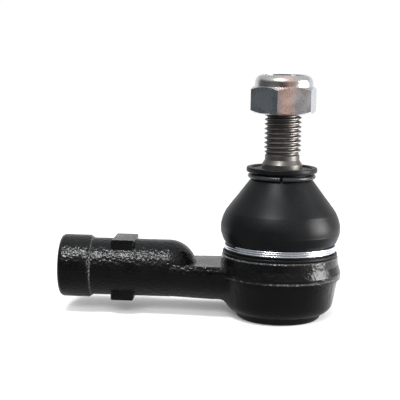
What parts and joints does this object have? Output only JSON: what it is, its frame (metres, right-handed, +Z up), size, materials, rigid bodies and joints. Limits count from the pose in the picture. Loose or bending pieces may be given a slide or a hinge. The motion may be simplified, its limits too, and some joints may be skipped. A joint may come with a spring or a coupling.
{
  "type": "tie rod end",
  "caption": "Outer steering tie rod end: forged socket with threaded shank, swivelling tapered ball stud under a rubber dust boot held by wire rings, and a flanged self-locking hex nut.",
  "frame": {"origin": "centre of the ball, where the stud axis, the shank axis and the forging's parting plane meet", "axes": "+Z up the ball stud at rest, -X along the shank towards its threaded mouth, Y across the forging"},
  "size_m": [0.0924, 0.0402, 0.0796],
  "materials": {
    "black_forging": "gloss black paint over forged steel",
    "phosphated_steel": "phosphated, dark grey",
    "zinc_plate": "bright zinc plating",
    "spring_wire": "bright drawn wire",
    "black_wire": "black oxide wire",
    "boot_rubber": "satin rubber",
    "bush_plastic": "matte",
    "seat_plastic": "acetal",
    "nylon": "translucent blue nylon",
    "spring_steel": "blued spring steel"
  },
  "bodies": {
    "socket": {"housing": "black_forging", "upper_ball_seat": "seat_plastic", "lower_ball_seat": "seat_plastic", "disc_spring": "spring_steel", "closing_plate": "black_forging", "boot_lower_ring": "spring_wire"},
    "boot": {"dust_boot": "boot_rubber"},
    "boot_neck": {"boot_upper_ring": "black_wire", "boot_neck_bush": "bush_plastic"},
    "stud": {"ball_stud": "phosphated_steel"},
    "nut_ring": {"nylon_insert": "nylon"},
    "nut": {"lock_nut": "zinc_plate"}
  },
  "joints": [
    {"name": "stud_swing_along", "type": "hinge", "parent": "socket", "child": "boot", "pos_m": [0, 0, 0], "axis": [0, 1, 0], "range_deg": [-20, 20], "deforming": ["dust_boot"]},
    {"name": "stud_swing_across", "type": "hinge", "parent": "boot", "child": "boot_neck", "pos_m": [0, 0, 0], "axis": [1, 0, 0], "range_deg": [-20, 20], "deforming": ["dust_boot"]},
    {"name": "stud_spin", "type": "hinge", "parent": "boot_neck", "child": "stud", "pos_m": [0, 0, 0.03], "axis": [0, 0, 1], "continuous": true},
    {"name": "nut_travel", "type": "slide", "parent": "stud", "child": "nut_ring", "axis": [0, 0, 1], "range_m": [-0.012, 0.009]},
    {"name": "nut_turn", "type": "hinge", "parent": "nut_ring", "child": "nut", "pos_m": [0, 0, 0.0585], "axis": [0, 0, 1], "range_deg": [-2890, 2170]}
  ],
  "couplings": [
    {"joint": "nut_turn", "follows": "nut_travel", "rad_per_m": 4188.8}
  ]
}
